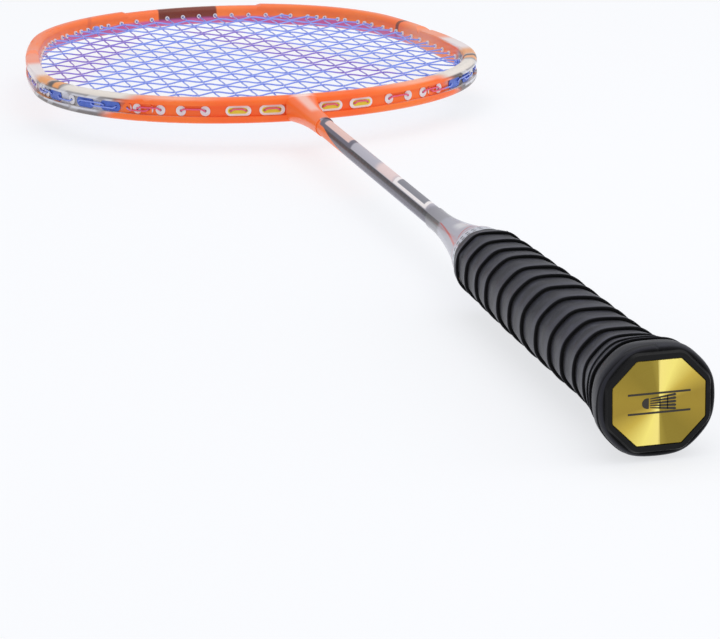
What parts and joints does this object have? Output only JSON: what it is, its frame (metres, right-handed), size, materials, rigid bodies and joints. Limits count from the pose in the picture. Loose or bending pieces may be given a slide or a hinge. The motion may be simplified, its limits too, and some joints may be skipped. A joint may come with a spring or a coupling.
{
  "type": "badminton racket",
  "caption": "Racket with a strung oval head, slim round shaft, tapered cap and an eight sided wrapped handle that ends in a flared butt with a plate.",
  "frame": {"origin": "centre of the butt's end face, on the shaft axis", "axes": "+Y along the shaft towards the head, +Z square to the string bed, +X across the head"},
  "size_m": [0.197, 0.6749, 0.032],
  "materials": {
    "head_lacquer": "glossy lacquer over carbon fibre, orange with dark and light printed panels",
    "throat_lacquer": "glossy orange lacquer over carbon fibre",
    "shaft_lacquer": "glossy black lacquer with an orange point and a light outline",
    "insert_alloy": "raw",
    "plug_foam": "foam",
    "cone_plastic": "painted silver grey with thin red lines",
    "band_tape": "printed band, dark dashes on silver",
    "handle_wood": "raw, fine grain along the handle",
    "grip_strip": "soft coated strip, matt with a slight sheen",
    "staple_steel": "bright",
    "cap_plastic": "satin black",
    "plate_gold": "turned, brushed in a circle",
    "string_nylon": "light blue braided nylon with a violet stencil",
    "grommet_yellow": "moulded",
    "grommet_blue": "moulded",
    "grommet_white": "moulded"
  },
  "bodies": {
    "root": {"head_frame": "head_lacquer", "throat_joint": "throat_lacquer", "t_insert": "insert_alloy", "shaft": "shaft_lacquer", "shaft_plug": "plug_foam", "cone_cap": "cone_plastic", "finishing_tape": "band_tape", "handle_core": "handle_wood", "grip_tape": "grip_strip", "grip_staple": "staple_steel", "butt_cap": "cap_plastic", "end_plate": "plate_gold", "main_string": "string_nylon", "cross_string": "string_nylon", "main_knots": "string_nylon", "cross_knots": "string_nylon", "throat_grommets": "grommet_yellow", "lower_side_grommets": "grommet_blue", "lower_grommets": "grommet_white", "left_grommets": "grommet_white", "right_grommets": "grommet_white", "tip_grommets": "grommet_white"}
  },
  "joints": []
}
